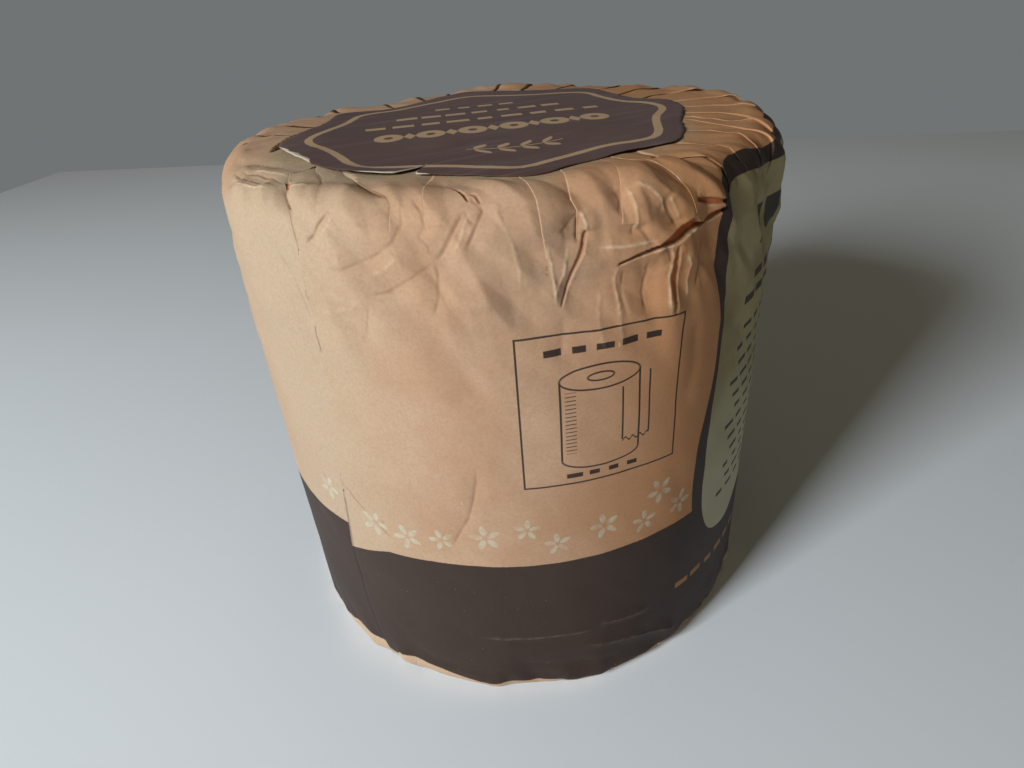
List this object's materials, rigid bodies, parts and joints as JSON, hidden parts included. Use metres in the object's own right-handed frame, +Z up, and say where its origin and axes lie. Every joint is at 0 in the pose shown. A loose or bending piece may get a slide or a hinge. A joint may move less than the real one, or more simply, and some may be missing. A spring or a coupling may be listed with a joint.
{
  "type": "wrapped toilet paper roll",
  "caption": "Toilet paper roll sealed in a printed paper wrapper, standing on end, its top pleated under a lobed glued label.",
  "frame": {"origin": "middle of the base, on the surface that the roll stands on", "axes": "+Z up along the roll's axis, -Y towards the front that carries the framed drawing"},
  "size_m": [0.1182, 0.1187, 0.1152],
  "materials": {
    "wrapper_paper": "matt printed wrapping paper, peach with a dark brown band, creased and pleated",
    "label_paper": "smooth coated label paper, dark brown with a tan border line, slight sheen"
  },
  "bodies": {
    "root": {"wrapped_roll": "wrapper_paper", "top_label": "label_paper"}
  },
  "joints": []
}
